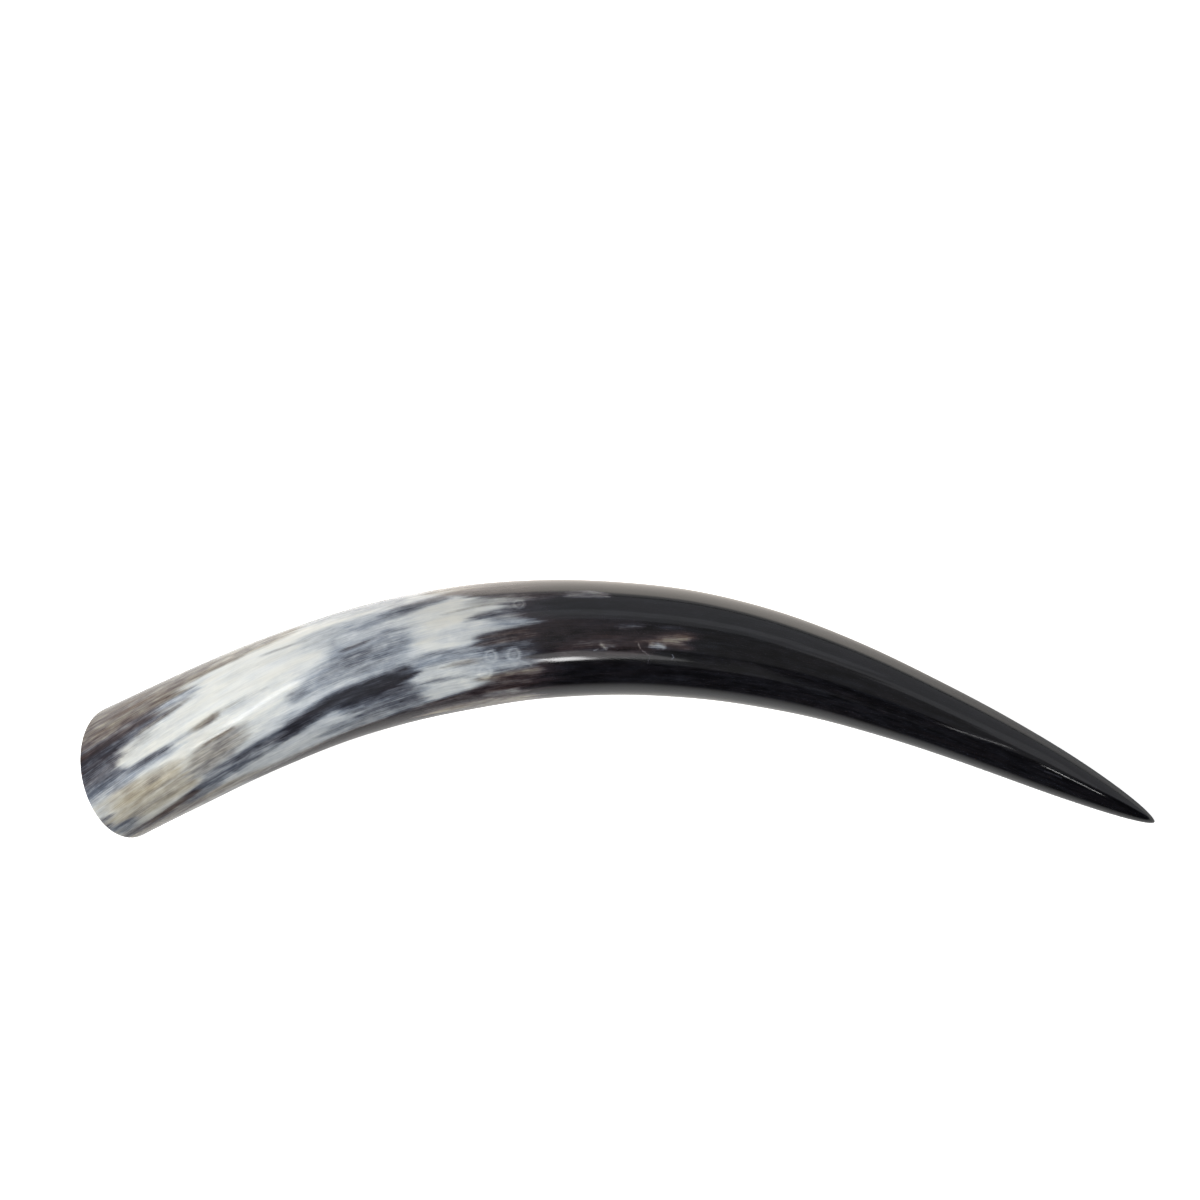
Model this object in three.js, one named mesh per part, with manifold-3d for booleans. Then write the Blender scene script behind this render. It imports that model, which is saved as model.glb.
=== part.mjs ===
// A polished cow horn, hollow at its sawn base and solid towards its tip, lying on its side.
// Millimetres, +Z up. The origin is the middle of its footprint, on the surface that it lies on.
// X runs from the sawn end to the tip, and +Y is the outside of the bend.
import * as THREE from "three";
import { mergeVertices } from "three/addons/utils/BufferGeometryUtils.js";
import Module from "manifold-3d";

// The horn as it grew, at equal steps from behind the saw cut to the tip:
// the place of its axis seen from above, and its width there.
const STATIONS = [
  { x: -256, y: -43, width: 60 },
  { x: -196.5, y: -14.5, width: 57 },
  { x: -136, y: 11, width: 56 },
  { x: -72, y: 27, width: 55 },
  { x: -6.5, y: 31, width: 51 },
  { x: 58.5, y: 22.5, width: 44.5 },
  { x: 121.5, y: 2, width: 33.7 },
  { x: 181.5, y: -24, width: 23.2 },
  { x: 241.4, y: -52.4, width: 0 },
];
const SECTION_FLATNESS = 0.92; // height over width of the oval section at the base; the tip is round
const TIP_BLUNTNESS = 1.6; // 1 makes the tip a plain cone, and 2 a round nose

// The horn stands on its rim, its belly and its tip, and arches off the table between them.
const REST_SHARE = 0.085; // where the rim's foot stands, as a share of the grown length
const ARCH_LIFT = 10; // the arches' clearance is about 0.58 of this

// The flat saw cut: where it crosses the axis, the heading of its normal seen from above,
// and how far it leans over, with the rim's top further out than its foot.
const SAW_SHARE = 0.063;
const SAW_HEADING = THREE.MathUtils.degToRad(14.5);
const SAW_LEAN = THREE.MathUtils.degToRad(25.5);

// The hollow that the bone core left: its width over the horn's at the saw cut, and where it closes.
const HOLLOW_RATIO = 0.84;
const HOLLOW_END_SHARE = 0.64;
const HOLLOW_TAPER = 2.2; // the wall stays thin for longer as this grows

// How finely the two curved surfaces are faceted.
const SIDES = 40;
const HORN_STEPS = 60;
const TIP_CROWDING = 0.5; // the steps get shorter towards the tip as this grows
const HOLLOW_SIDES = 28;
const HOLLOW_STEPS = 30;
const HOLLOW_CROWDING = 1.6; // and towards the hollow's end
const HOLLOW_OVERRUN_SHARE = -0.05; // the solid that cuts the hollow starts behind the horn

// A smooth line through one figure of every station, read at a share of the grown length. It runs on straight at its ends.
function through(figure) {
  const places = STATIONS.map((station, i) => new THREE.Vector3(i, figure(station), 0));
  const line = new THREE.CatmullRomCurve3(places, false, "catmullrom");
  const first = figure(STATIONS[0]);
  const slopeAtStart = (figure(STATIONS[1]) - first) * (STATIONS.length - 1);
  return (share) => (share < 0 ? first + slopeAtStart * share : line.getPoint(share).y);
}

const axisX = through((station) => station.x);
const axisY = through((station) => station.y);
// This power of the half width runs evenly to nothing at the tip.
const raisedHalfWidth = through((station) => (station.width / 2) ** TIP_BLUNTNESS);
const halfWidth = (share) => Math.max(raisedHalfWidth(share), 0) ** (1 / TIP_BLUNTNESS);
const flatness = (share) => THREE.MathUtils.lerp(SECTION_FLATNESS, 1, share);

// How far the horn's underside is off the table.
function clearance(share) {
  const along = (share - REST_SHARE) / (1 - REST_SHARE);
  return ARCH_LIFT * Math.sin(2 * Math.PI * along) * (1 - 2 * along);
}

function axisPoint(share) {
  const height = halfWidth(share) * flatness(share) + clearance(share);
  return new THREE.Vector3(axisX(share), axisY(share), height);
}

// The directions of the horn's section at a share: along the axis, to its outer side, and up.
function sectionDirections(share) {
  const step = 1e-3;
  const along = axisPoint(share).sub(axisPoint(share - step)).normalize();
  const side = new THREE.Vector3(0, 0, 1).cross(along).normalize();
  const up = along.clone().cross(side);
  return { along, side, up };
}

// One oval ring of points round the axis, scale times the horn's own section.
function ring(share, sides, scale = 1) {
  const { side, up } = sectionDirections(share);
  const centre = axisPoint(share);
  const half = halfWidth(share) * scale;
  return Array.from({ length: sides }, (_, i) => {
    const turn = (2 * Math.PI * i) / sides;
    return centre
      .clone()
      .addScaledVector(up, Math.cos(turn) * half * flatness(share))
      .addScaledVector(side, -Math.sin(turn) * half);
  });
}

// A closed solid through rings of equal size, with a flat first end, and a last end that closes on a point.
function loft(rings, lastPoint) {
  const sides = rings[0].length;
  const points = rings.flat();
  const firstCentre = points.length;
  const firstMiddle = rings[0].reduce((sum, p) => sum.add(p), new THREE.Vector3()).divideScalar(sides);
  points.push(firstMiddle, lastPoint);
  const triangles = [];
  for (let i = 0; i < sides; i++) {
    const next = (i + 1) % sides;
    triangles.push(firstCentre, next, i);
    for (let row = 0; row + 1 < rings.length; row++) {
      const near = row * sides;
      const far = near + sides;
      triangles.push(near + i, near + next, far + i);
      triangles.push(far + i, near + next, far + next);
    }
    const last = (rings.length - 1) * sides;
    triangles.push(last + i, last + next, firstCentre + 1);
  }
  return new THREE.BufferGeometry().setFromPoints(points).setIndex(triangles);
}

// The horn as grown, with rings that draw together towards the tip.
function hornGeometry() {
  const rings = [];
  for (let i = 0; i < HORN_STEPS; i++) {
    const even = i / HORN_STEPS;
    rings.push(ring(even + TIP_CROWDING * even ** 3 * (1 - even), SIDES));
  }
  return loft(rings, axisPoint(1));
}

// The hollow keeps to the horn's axis. Its width falls away from the horn's and closes in a blunt point.
function hollowGeometry() {
  const rings = [];
  for (let i = 0; i < HOLLOW_STEPS; i++) {
    const even = i / HOLLOW_STEPS;
    const crowded = 1 - (1 - even) ** HOLLOW_CROWDING;
    const share = THREE.MathUtils.lerp(HOLLOW_OVERRUN_SHARE, HOLLOW_END_SHARE, crowded);
    const depth = Math.max((share - SAW_SHARE) / (HOLLOW_END_SHARE - SAW_SHARE), 0);
    rings.push(ring(share, HOLLOW_SIDES, HOLLOW_RATIO * Math.sqrt(1 - depth ** HOLLOW_TAPER)));
  }
  return loft(rings, axisPoint(HOLLOW_END_SHARE));
}

// A block whose inner face is the saw cut.
function sawnOffGeometry() {
  const reach = 160;
  const block = new THREE.BoxGeometry(reach, reach, reach);
  block.translate(-reach / 2, 0, 0);
  block.rotateY(-SAW_LEAN);
  block.rotateZ(SAW_HEADING);
  const centre = axisPoint(SAW_SHARE);
  return block.translate(centre.x, centre.y, centre.z);
}

const wasm = await Module();
wasm.setup();

function toSolid(geometry) {
  const bare = geometry.clone();
  bare.deleteAttribute("normal");
  bare.deleteAttribute("uv");
  const merged = mergeVertices(bare);
  const vertProperties = merged.attributes.position.array;
  const triVerts = new Uint32Array(merged.index.array);
  return new wasm.Manifold(new wasm.Mesh({ numProp: 3, vertProperties, triVerts }));
}

function toGeometry(solid) {
  const { vertProperties, triVerts } = solid.getMesh();
  const geometry = new THREE.BufferGeometry();
  geometry.setAttribute("position", new THREE.BufferAttribute(vertProperties, 3));
  geometry.setIndex(new THREE.BufferAttribute(triVerts, 1));
  return geometry;
}

function cowHorn() {
  const grown = toSolid(hornGeometry());
  const hollowed = grown.subtract(toSolid(hollowGeometry()));
  const sawn = hollowed.subtract(toSolid(sawnOffGeometry()));
  const geometry = toGeometry(sawn);
  // Its footprint's middle comes exactly to the origin, and its lowest point to the surface below.
  geometry.computeBoundingBox();
  const middle = geometry.boundingBox.getCenter(new THREE.Vector3());
  geometry.translate(-middle.x, -middle.y, -geometry.boundingBox.min.z);
  geometry.computeVertexNormals();
  const keratin = new THREE.MeshStandardMaterial({ color: 0x3a3a40, roughness: 0.15, metalness: 0 });
  const mesh = new THREE.Mesh(geometry, keratin);
  mesh.name = "horn";
  return mesh;
}

const part = new THREE.Group();
part.name = "cow_horn";
part.add(cowHorn());

export default part;
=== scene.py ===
"""A polished cow horn on a pale table.

The horn is one closed surface worked out with numpy: its skin, the sawn rim and the rough hollow. Its
pigment is laid on in streaks that follow the fibres, and the nodes fray their edges. The studio is a pale
floor, soft panels and a few narrow strips whose reflections draw the thin glints along the polish.
"""

import math

import bpy
import numpy as np
from mathutils import Matrix, Vector


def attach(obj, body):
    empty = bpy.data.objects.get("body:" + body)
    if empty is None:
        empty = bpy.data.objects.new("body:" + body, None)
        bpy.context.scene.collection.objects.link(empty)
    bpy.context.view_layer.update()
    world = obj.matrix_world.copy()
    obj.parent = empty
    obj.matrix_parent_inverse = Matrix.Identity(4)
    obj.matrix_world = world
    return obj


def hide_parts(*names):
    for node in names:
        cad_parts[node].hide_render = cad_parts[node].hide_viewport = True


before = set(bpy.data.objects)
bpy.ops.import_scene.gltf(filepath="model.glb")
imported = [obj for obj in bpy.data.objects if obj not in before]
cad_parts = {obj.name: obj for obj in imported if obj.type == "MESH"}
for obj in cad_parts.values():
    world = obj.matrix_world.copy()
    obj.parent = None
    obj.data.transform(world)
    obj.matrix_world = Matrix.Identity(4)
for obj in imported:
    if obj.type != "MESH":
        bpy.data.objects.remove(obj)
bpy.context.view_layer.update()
MM = 0.001

bl_info = {
    "name": "Cow horn",
    "version": (1, 0, 0),
    "blender": (4, 5, 0),
    "location": "3D View > Sidebar > Cow horn",
    "description": "Grows a polished cow horn with streaked pigment and sets up a plain studio for it",
    "category": "Object",
}

# The horn as it grew, in millimetres, at equal steps from behind the saw cut to the tip:
# the place of its axis seen from above, x and y, and its width there.
STATIONS = [
    (-256, -43, 60),
    (-196.5, -14.5, 57),
    (-136, 11, 56),
    (-72, 27, 55),
    (-6.5, 31, 51),
    (58.5, 22.5, 44.5),
    (121.5, 2, 33.7),
    (181.5, -24, 23.2),
    (241.4, -52.4, 0),
]

# Pigments of keratin: how light each is, from 0, black, to 1, ivory,
# and how warm, from -1, bluish, to 1, brown.
PIGMENTS = {
    "ivory": (0.98, 0.08),
    "pearl": (0.88, -0.1),
    "veil": (0.7, -0.35),
    "slate": (0.47, -0.15),
    "charcoal": (0.27, 0.0),
    "black": (0.03, 0.0),
    "plum": (0.26, 0.8),
    "umber": (0.17, 0.5),
    "brown": (0.42, 0.8),
    "tan": (0.78, 0.8),
    "khaki": (0.55, 0.7),
    "moss": (0.68, 0.35),
}

# The streaks that the side in view shows. Each runs between two places on the skin, given by the
# millimetres from the rim and the degrees round from the top (positive on the inside of the bend). It has
# a width at each end and a soft edge, in millimetres, and a cover from 0 to 1. Later streaks lie over
# earlier ones.
PALE_STREAKS = [
    # pigment, start mm, degrees, end mm, degrees, widths, blur, cover
    ("ivory", 40, -60, 140, -66, 24, 24, 8, 0.9),
    ("ivory", 44, -34, 116, -32, 26, 30, 8, 0.95),
    ("veil", 92, -76, 172, -78, 16, 20, 6, 0.95),
    ("khaki", -20, -58, 64, -66, 26, 18, 5, 1),
    ("brown", -24, -54, 56, -62, 22, 12, 6, 0.7),
    ("khaki", 30, -58, 104, -68, 12, 8, 5, 0.9),
    ("brown", 30, -50, 76, -56, 2.2, 2, 2, 0.75),
    ("khaki", 80, -43, 98, -41, 1.6, 1.4, 1.6, 0.5),
    ("brown", -20, -28, 52, -42, 13, 7, 4, 0.9),
    ("charcoal", 8, -27, 42, -37, 5, 3, 3, 0.5),
    ("khaki", -16, -40, 46, -46, 6, 3, 3, 0.8),
    ("charcoal", -26, -3, 14, -8, 25, 15, 3, 1),
    ("charcoal", -20, -14, 37, -27, 12, 3.4, 3, 1),
    ("slate", -4, -24, 24, -28, 2, 2, 2, 0.4),
    ("slate", -10, -4, 10, -6, 2, 2, 2, 0.35),
    ("plum", -18, -17, 35, -32, 3.6, 3, 1.6, 1),
    ("veil", 34, -34, 56, -40, 3.4, 3, 2, 0.95),
    ("brown", 20, -19, 48, -31, 1.8, 1.4, 1.4, 0.9),
    ("ivory", 5, 3, 64, -22, 1, 22, 4, 0.95),
    ("ivory", 8, 19, 98, -3, 4, 10, 3, 0.95),
    ("charcoal", 4, 8, 36, 0, 3.6, 2.4, 2, 0.85),
    ("veil", 6, 11, 40, 3, 3, 2, 2, 0.6),
    ("slate", 28, 1, 60, -7, 2, 1.6, 1.6, 0.5),
    ("brown", 37, -1, 59, -8, 2, 3.2, 1.6, 0.9),
    ("khaki", 50, -8, 84, -12, 2, 2, 2, 0.35),
    ("veil", -14, 15, 16, 11, 8, 5, 3, 0.85),
    ("slate", -14, 8, 8, 10, 5, 3, 3, 0.7),
    ("slate", -12, 17, 6, 15, 1.4, 1.2, 1.2, 0.5),
    ("tan", -10, 27, 36, 20, 9, 9, 4, 0.85),
    ("khaki", 12, 25, 24, 22, 2.5, 2, 2, 0.7),
    ("tan", -9, 42, 38, 35, 12, 12, 4, 0.85),
    ("khaki", -2, 46, 28, 41, 3, 3, 3, 0.5),
    ("khaki", 8, 34, 30, 30, 1.6, 1.6, 1.6, 0.4),
    ("moss", 30, 30, 66, 20, 13, 12, 5, 0.95),
    ("khaki", 32, 26, 60, 18, 8, 6, 4, 0.35),
    ("brown", 44, 15, 58, 12, 1.4, 1.4, 1, 0.8),
    ("charcoal", -14, 42, -3, 39, 8, 6, 3, 0.95),
    ("slate", -12, 54, 6, 52, 9, 7, 3, 0.85),
    ("khaki", -14, 74, 70, 68, 16, 10, 6, 0.8),
    ("charcoal", -12, 66, 18, 63, 5, 4, 3, 0.6),
    ("slate", 16, 62, 60, 48, 8, 9, 3, 0.85),
    ("plum", 4, 65, 34, 51, 3.6, 3.4, 2, 1),
    ("slate", 30, 50, 84, 35, 9, 9, 3, 0.85),
    ("charcoal", 50, 43, 82, 34, 6, 6, 4, 0.5),
    ("charcoal", 100, 33, 142, 31, 8, 12, 6, 0.85),
    ("black", 73, 36, 99, 27, 6.6, 7, 4, 0.9),
    ("black", 88, 28, 148, 13, 7, 10, 4.5, 0.9),
    ("slate", 90, 24, 126, 17, 0.8, 0.8, 1, 0.4),
    ("slate", 100, 27, 138, 19, 0.8, 1, 1, 0.35),
    ("pearl", 38, 60, 142, 47, 7, 6, 3, 0.75),
    ("charcoal", 106, 46, 142, 41, 3, 4, 2.5, 0.75),
    ("slate", 90, 53, 142, 48, 6, 7, 3, 0.7),
    ("khaki", 40, 74, 130, 62, 6, 8, 5, 0.8),
    ("umber", 50, 80, 146, 62, 7, 8, 4, 0.9),
    ("veil", 92, -36, 140, -40, 12, 14, 8, 0.7),
    ("veil", 104, -24, 142, -28, 8, 12, 7, 0.6),
    ("slate", 80, 8, 112, 2, 4, 7, 4, 0.6),
    ("veil", 84, 1, 143, -6, 8, 16, 6, 0.85),
    ("slate", 98, -8, 143, -12, 6, 13, 6, 0.7),
    ("slate", 112, 6, 142, 3, 3, 5, 4, 0.3),
    ("umber", 111, -17, 131, -21, 1.5, 1.5, 1.2, 0.75),
    ("charcoal", 126, -22, 140, -23, 3, 3, 3, 0.5),
    ("slate", 127, -42, 160, -54, 6, 7, 4, 0.95),
    ("veil", 10, -20, 50, -34, 10, 8, 6, 0.15),
    ("khaki", 14, -12, 56, -26, 12, 8, 6, 0.12),
]
# What lies past the growth ring: first the streaks under the black, then the marks on it.
FADING_STREAKS = [
    ("umber", 30, 100, 260, 56, 16, 40, 3, 0.92),
    ("ivory", 140, -30, 188, -35, 18, 5, 5, 0.88),
    ("ivory", 140, -11, 182, -14, 18, 4, 4, 0.95),
    ("ivory", 151, -48, 171, -46, 7, 5, 3, 0.9),
    ("slate", 133, -43, 164, -57, 6, 6, 3.5, 0.95),
    ("charcoal", 138, -46, 157, -52, 2, 3, 3, 0.4),
    ("moss", 160, -40, 200, -41, 7, 5, 4, 0.75),
    ("brown", 190, -40, 218, -43, 5, 4, 3, 0.7),
    ("brown", 150, -29, 184, -38, 1, 1, 1, 0.45),
    ("pearl", 182, -36, 191, -36, 2.5, 2, 2, 0.5),
    ("charcoal", 163, -22, 204, -28, 3.4, 4, 2.5, 0.85),
    ("charcoal", 160, -19, 176, -21, 1, 1, 1, 0.4),
    ("veil", 170, -14, 200, -15, 6, 3, 3, 0.9),
    ("pearl", 150, -10, 183, -11, 8, 5, 3, 0.8),
    ("umber", 162, 0, 200, -7, 7, 5, 3, 0.65),
    ("brown", 160, 3, 200, -3, 1.8, 1.6, 1.6, 0.75),
    ("slate", 160, 6, 196, 2, 1.4, 1.2, 1.2, 0.6),
    ("brown", 166, -4, 200, -8, 1.4, 1.2, 1.4, 0.75),
    ("slate", 138, 9, 202, 11, 7, 8, 3, 0.85),
    ("khaki", 144, 5, 168, 4, 3, 2, 2, 0.5),
    ("veil", 138, 8, 172, 9, 8, 7, 3, 0.85),
    ("charcoal", 164, 11, 204, 13, 5, 7, 4, 0.75),
    ("pearl", 139, 24, 172, 22, 12, 5, 4, 0.9),
    ("pearl", 140, 40, 163, 36, 8, 4, 3, 0.85),
    ("veil", 160, 23, 198, 22, 6, 3, 3, 0.75),
    ("veil", 158, 14, 190, 15, 3, 2, 2, 0.6),
    ("slate", 138, 31, 166, 29, 3, 2, 2, 0.6),
    ("khaki", 148, 17, 168, 17, 3, 2, 2, 0.45),
    ("slate", 171, 30, 194, 27, 6, 3, 3, 0.7),
    ("brown", 160, 35, 198, 31, 4, 3, 3, 0.7),
    ("khaki", 166, 60, 196, 66, 18, 14, 8, 0.4),
    ("tan", 134, 70, 204, 74, 7, 8, 4, 0.8),
    ("brown", 168, 39, 194, 38, 6, 5, 4, 0.5),
    ("moss", 168, 54, 188, 56, 5, 4, 2.4, 0.7),
    ("khaki", 144, -72, 176, -72, 10, 8, 5, 0.8),
    ("brown", 154, -61, 214, -62, 9, 7, 4, 0.85),
    ("umber", 164, -56, 214, -60, 12, 10, 6, 0.45),
]
DARK_STREAKS = [
    ("brown", 184, -46, 207, -45, 5, 4, 3, 0.55),
    ("moss", 203, -43.5, 226, -44, 5.2, 5, 1.2, 0.8),
    ("slate", 208, -42.5, 220, -43, 1.2, 1.4, 1, 0.5),
    ("umber", 186, -2, 250, -6, 14, 10, 6, 0.85),
    ("umber", 200, 12, 250, 10, 11, 9, 4, 0.8),
    ("brown", 194, 15, 250, 11, 7, 9, 5, 0.3),
    ("umber", 226, 9, 268, -4, 5, 10, 4, 0.9),
    ("brown", 230, 8, 262, -2, 1.4, 2.4, 2, 0.6),
    ("brown", 240, 3, 265, -3, 2.4, 6, 2.4, 0.8),
    ("tan", 252, 2, 262, -2, 1, 2, 1.6, 0.45),
    ("slate", 243, 8, 252, 8, 2.8, 2.8, 1.6, 0.9),
    ("brown", 249, 7, 264, 6, 3, 2, 2.4, 0.6),
    ("charcoal", 226, -7, 244, -12, 1.8, 1.8, 1.4, 0.9),
    ("charcoal", 246, -9, 260, -12, 1.8, 1.8, 1.4, 0.9),
    ("slate", 221, 12, 227, 12, 2, 2, 1.2, 0.7),
    ("charcoal", 216, 15, 224, 14, 2, 2, 2, 0.7),
]

# Where one growth ring stops the pale fibres, how much further out it is on the inside of the bend, and how
# wide its edge is, in millimetres.
RING_PLACE = 141
RING_SLANT = 3.5
RING_EDGE = 4
# Where the ground past it starts to darken and has turned black, and how long each change takes.
DARK_PLACE = 158
DARK_RUN = 22
BLACK_PLACE = 210
BLACK_RUN = 26
# The fibres wind round by this many degrees in all, most of them over this many millimetres.
FIBRE_TWIST = 50
TWIST_RUN = 150

# Small pale rings and fine scratches in the polish: places as on the streaks, sizes in millimetres, and how
# plain each is. A ring's line fades out over RING_LINE, and noise pushes all marks about within WOBBLE.
RINGS = [
    # place mm, degrees, radius, how plain
    (172.5, 14, 2.2, 0.7),
    (182.5, 15, 2.5, 0.6),
    (169, 28.5, 2.6, 0.95),
    (138.5, 7, 1.9, 0.3),
    (113.5, -28, 2.5, 0.4),
    (118, -25, 2.0, 0.25),
    (127, -12, 2.2, 0.3),
    (159, -10, 2.6, 0.3),
    (187, -34, 2.0, 0.5),
    (47, 57, 2.4, 0.4),
    (24, 27, 2.0, 0.3),
    (151, 21, 2.6, 0.25),
]
SCRATCHES = [
    # start mm, degrees, end mm, degrees, width, how plain
    (238.5, 7, 239.5, 12, 0.7, 0.5),
    (239.5, 12, 244, 19, 0.5, 0.35),
    (244, 19, 243.5, 27, 0.4, 0.25),
    (244, 7.5, 250, 8.5, 1.6, 0.7),
    (250, 1, 261, -2, 1.5, 0.3),
    (254.2, 15.5, 255, 18.5, 0.5, 0.6),
    (255, 18.5, 254.2, 20.5, 0.5, 0.5),
    (218.5, 15, 220.5, 13.5, 0.5, 0.5),
    (221.5, 9, 224, 13, 1.1, 0.6),
    (230, -7, 241, -11, 1.0, 0.25),
    (184, 20, 190, 27, 0.8, 0.4),
    (150, -30, 182, -39, 0.5, 0.3),
    (457, -9, 457.3, -2, 0.4, 0.35),
    (440, 12, 431, 14, 0.4, 0.3),
]
RING_LINE = 1.5
WOBBLE = 1.2
WOBBLES_PER_METRE = 600.0

# How finely the surface is divided: columns round it, and rows down the hollow, round each of the rim's
# edges, across the sawn face and along the skin, with more on the last part of the tip.
COLUMNS = 288
HOLLOW_ROWS = 50
EDGE_ROWS = 5
FACE_ROWS = 5
SKIN_ROWS = 240
TIP_ROWS = 20
TIP_PART = 0.03
# Above 1, the hollow's rows crowd towards its end.
HOLLOW_CROWDING = 1.6

# The rasped waves on the hollow's wall: height over its half width, and where they start and for how long
# they grow, in millimetres.
RASP_HEIGHT = 0.02
RASP_START = 12
RASP_RUN = 30

# The axis is measured in this many steps, from a little behind the first station to the tip. The saw cut is
# looked for between two shares of the grown length, by halving.
AXIS_STEPS = 2000
FIRST_SHARE = -0.06
CUT_SHARES = (-0.05, 0.2)
HALVINGS = 40

# Noise is drawn on a lattice with this many rows, some of them for what lies before the rim.
NOISE_ROWS = 64
ROWS_BEFORE_RIM = 16


def srgb(hex_code):
    """A colour written as six hex digits, as the linear numbers that a render works in."""
    parts = [int(hex_code[i : i + 2], 16) / 255 for i in (1, 3, 5)]
    return tuple(c / 12.92 if c <= 0.04045 else ((c + 0.055) / 1.055) ** 2.4 for c in parts)


def smooth_step(value):
    """0 below 0 and 1 above 1, with an even start and end between: 3 v squared - 2 v cubed."""
    value = np.clip(value, 0, 1)
    return value * value * (3 - 2 * value)


def smooth_line(values):
    """A natural cubic spline through evenly spaced values, as a function of a share from 0 to 1.

    Each stretch is the straight mix of its ends, bent by its ends' second differences; these are the ones
    that make the slopes meet and leave both ends of the line straight.
    """
    values = np.asarray(values, float)
    last = len(values) - 1
    bends = np.zeros(last + 1)
    system = 4 * np.eye(last - 1) + np.eye(last - 1, k=1) + np.eye(last - 1, k=-1)
    bends[1:-1] = np.linalg.solve(system, 6 * np.diff(values, 2))

    def read(share):
        place = np.asarray(share, float) * last
        i = np.clip(np.floor(place).astype(int), 0, last - 1)
        b = place - i
        a = 1 - b
        bend = (a**3 - a) * bends[i] + (b**3 - b) * bends[i + 1]
        return a * values[i] + b * values[i + 1] + bend / 6

    return read


def streaky_noise(along, around, cell_along, cells_around, seed):
    """Smooth noise from -1 to 1: random numbers on a lattice, mixed with smooth steps between its corners.

    The lattice's cells are cell_along millimetres long, and a whole number of them closes round the horn.
    """
    lattice = np.random.default_rng(seed).uniform(-1, 1, (NOISE_ROWS, cells_around))
    x = along / cell_along + ROWS_BEFORE_RIM
    y = around / 360 * cells_around
    i, j = np.floor(x).astype(int), np.floor(y).astype(int)
    u, v = smooth_step(x - i), smooth_step(y - j)

    def corner(di, dj):
        return lattice[(i + di) % NOISE_ROWS, (j + dj) % cells_around]

    near = corner(0, 0) * (1 - v) + corner(0, 1) * v
    far = corner(1, 0) * (1 - v) + corner(1, 1) * v
    return near * (1 - u) + far * u


class GrownHorn:
    """The horn's skin as a function of two parameters: the share of its length, and the turn round its axis.

    A section is an oval round the axis, turned to face along it. The turn starts at the top and grows
    towards the inside of the bend.
    """

    def __init__(self, shape):
        x, y, width = np.array(STATIONS, float).T * MM
        self.shape = shape
        self.axis_x = smooth_line(x)
        self.axis_y = smooth_line(y)
        # This power of the half width runs evenly to nothing at the tip.
        self.raised_half_width = smooth_line((width / 2) ** shape.tip_bluntness)
        shares = np.linspace(FIRST_SHARE, 1, AXIS_STEPS + 1)
        steps = np.linalg.norm(np.diff(self.axis(shares), axis=0), axis=1)
        lengths = np.concatenate([[0], np.cumsum(steps)])
        self.lengths = lengths - np.interp(shape.saw_share, shares, lengths)
        self.shares = shares

    def half_width(self, share):
        return np.maximum(self.raised_half_width(share), 0) ** (1 / self.shape.tip_bluntness)

    def flatness(self, share):
        return self.shape.flatness + (1 - self.shape.flatness) * np.asarray(share)

    def axis(self, share):
        """The axis is half a section's height off the table, and arches twice between its three rests.

        The arches' clearance is the lift, times a sine of one full turn, times a line from 1 to -1.
        """
        share = np.asarray(share, float)
        rest = self.shape.rest_share
        along = (share - rest) / (1 - rest)
        clearance = self.shape.arch_lift * np.sin(2 * np.pi * along) * (1 - 2 * along)
        height = self.half_width(share) * self.flatness(share) + clearance
        return np.stack([self.axis_x(share), self.axis_y(share), height], -1)

    def directions(self, share):
        """The section's directions: along the axis, to the outside of the bend, and up."""
        step = 1e-3
        along = self.axis(share) - self.axis(np.asarray(share) - step)
        along /= np.linalg.norm(along, axis=-1)[..., None]
        side = np.cross([0, 0, 1], along)
        side /= np.linalg.norm(side, axis=-1)[..., None]
        return along, side, np.cross(along, side)

    def hand_work(self, share, turn):
        """Low waves left by scraping, as a share of the half width: three sines that die out at the tip."""
        wave = np.sin(2 * turn + 31 * share) + 0.6 * np.sin(3 * turn - 47 * share + 1)
        wave = wave + 0.5 * np.sin(71 * share)
        return self.shape.waviness * wave * smooth_step((1 - share) * 8)

    def skin(self, share, turn, scale=1.0):
        """A point of the skin, or of the section made smaller by scale."""
        share, turn, scale = np.broadcast_arrays(share, turn, scale)
        _, side, up = self.directions(share)
        half = self.half_width(share) * scale * (1 + self.hand_work(share, turn))
        across = -np.sin(turn) * half
        upwards = np.cos(turn) * half * self.flatness(share)
        return self.axis(share) + across[..., None] * side + upwards[..., None] * up

    def saw_share(self, turn, scale):
        """Where the line along the skin at each turn meets the saw cut, found by halving."""
        heading, lean = self.shape.saw_heading, self.shape.saw_lean
        flat = math.cos(lean)
        normal = np.array([math.cos(heading) * flat, math.sin(heading) * flat, math.sin(lean)])
        centre = self.axis(self.shape.saw_share)
        turn, scale = np.broadcast_arrays(turn, scale)
        low, high = (np.full(turn.shape, share) for share in CUT_SHARES)
        for _ in range(HALVINGS):
            middle = (low + high) / 2
            cut_off = (self.skin(middle, turn, scale) - centre) @ normal < 0
            low = np.where(cut_off, middle, low)
            high = np.where(cut_off, high, middle)
        return high

    def millimetres(self, share):
        """How far a share is from the saw cut, along the axis."""
        return np.interp(share, self.shares, self.lengths) / MM

    def share_at(self, millimetres):
        return np.interp(np.asarray(millimetres) * MM, self.lengths, self.shares)


def hollow_scale(share, shape):
    """The hollow's size over the skin's: steady near the rim, falling to a blunt point at its end."""
    depth = np.clip((share - shape.saw_share) / (shape.hollow_end - shape.saw_share), 0, 1)
    return shape.hollow_ratio * np.sqrt(1 - depth**shape.hollow_taper)


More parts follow.
